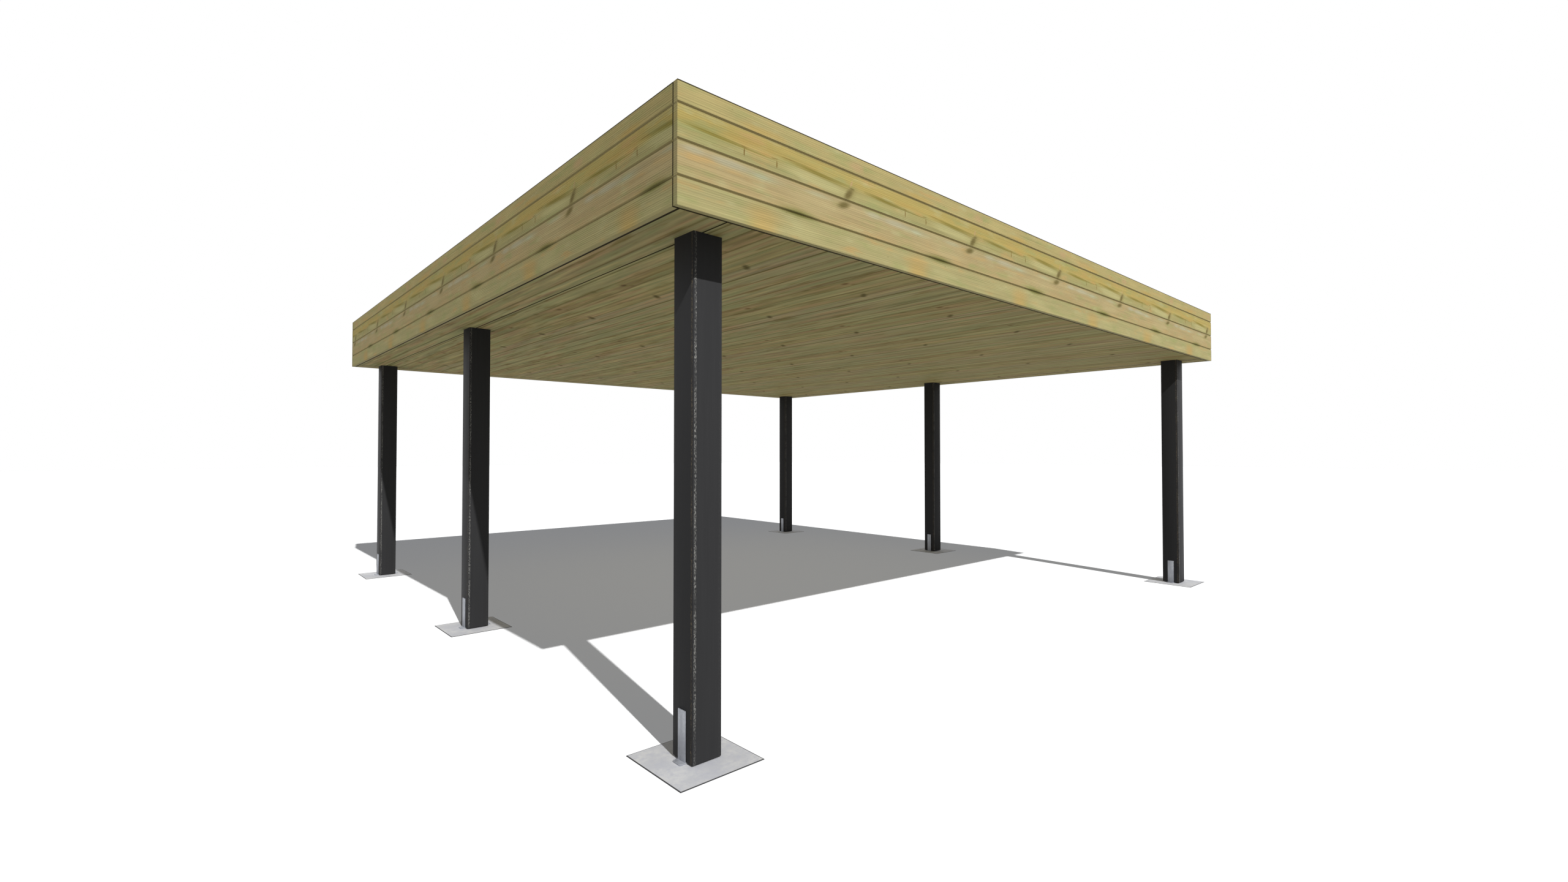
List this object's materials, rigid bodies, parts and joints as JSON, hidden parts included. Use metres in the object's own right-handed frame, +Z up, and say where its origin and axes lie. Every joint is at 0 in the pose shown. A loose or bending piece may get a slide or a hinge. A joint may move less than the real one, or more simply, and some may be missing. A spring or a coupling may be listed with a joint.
{
  "type": "carport",
  "caption": "Flat-roofed double carport: square black posts in galvanised shoes on concrete pads, carrying a square roof box clad and lined with timber boards.",
  "frame": {"origin": "middle of the footprint, on the undersides of the concrete pads", "axes": "+Z up, front fascia faces -Y, cars drive in along +Y, +X to the right seen from the front"},
  "size_m": [6, 6, 2.6],
  "materials": {
    "concrete": "smooth cast concrete",
    "galvanised": "dull galvanised steel",
    "post_paint": "satin black painted laminated timber",
    "fascia_wood": "pressure-treated pine, fine ribbed",
    "ceiling_wood": "pressure-treated pine, planed",
    "frame_wood": "sawn softwood",
    "deck_board": "plywood",
    "membrane": "matt black sheet"
  },
  "bodies": {
    "root": {"pad_left_front": "concrete", "pad_left_middle": "concrete", "pad_left_back": "concrete", "pad_right_front": "concrete", "pad_right_middle": "concrete", "pad_right_back": "concrete", "shoe_left_front": "galvanised", "shoe_left_middle": "galvanised", "shoe_left_back": "galvanised", "shoe_right_front": "galvanised", "shoe_right_middle": "galvanised", "shoe_right_back": "galvanised", "post_left_front": "post_paint", "post_left_middle": "post_paint", "post_left_back": "post_paint", "post_right_front": "post_paint", "post_right_middle": "post_paint", "post_right_back": "post_paint", "fascia_front_1": "fascia_wood", "fascia_front_2": "fascia_wood", "fascia_front_3": "fascia_wood", "fascia_front_4": "fascia_wood", "fascia_back_1": "fascia_wood", "fascia_back_2": "fascia_wood", "fascia_back_3": "fascia_wood", "fascia_back_4": "fascia_wood", "fascia_left_1": "fascia_wood", "fascia_left_2": "fascia_wood", "fascia_left_3": "fascia_wood", "fascia_left_4": "fascia_wood", "fascia_right_1": "fascia_wood", "fascia_right_2": "fascia_wood", "fascia_right_3": "fascia_wood", "fascia_right_4": "fascia_wood", "ceiling": "ceiling_wood", "soffit_sides": "ceiling_wood", "soffit_back": "ceiling_wood", "rim_front": "frame_wood", "rim_back": "frame_wood", "rim_left": "frame_wood", "rim_right": "frame_wood", "beams": "frame_wood", "joists": "frame_wood", "roof_deck": "deck_board", "roof_membrane": "membrane"}
  },
  "joints": []
}
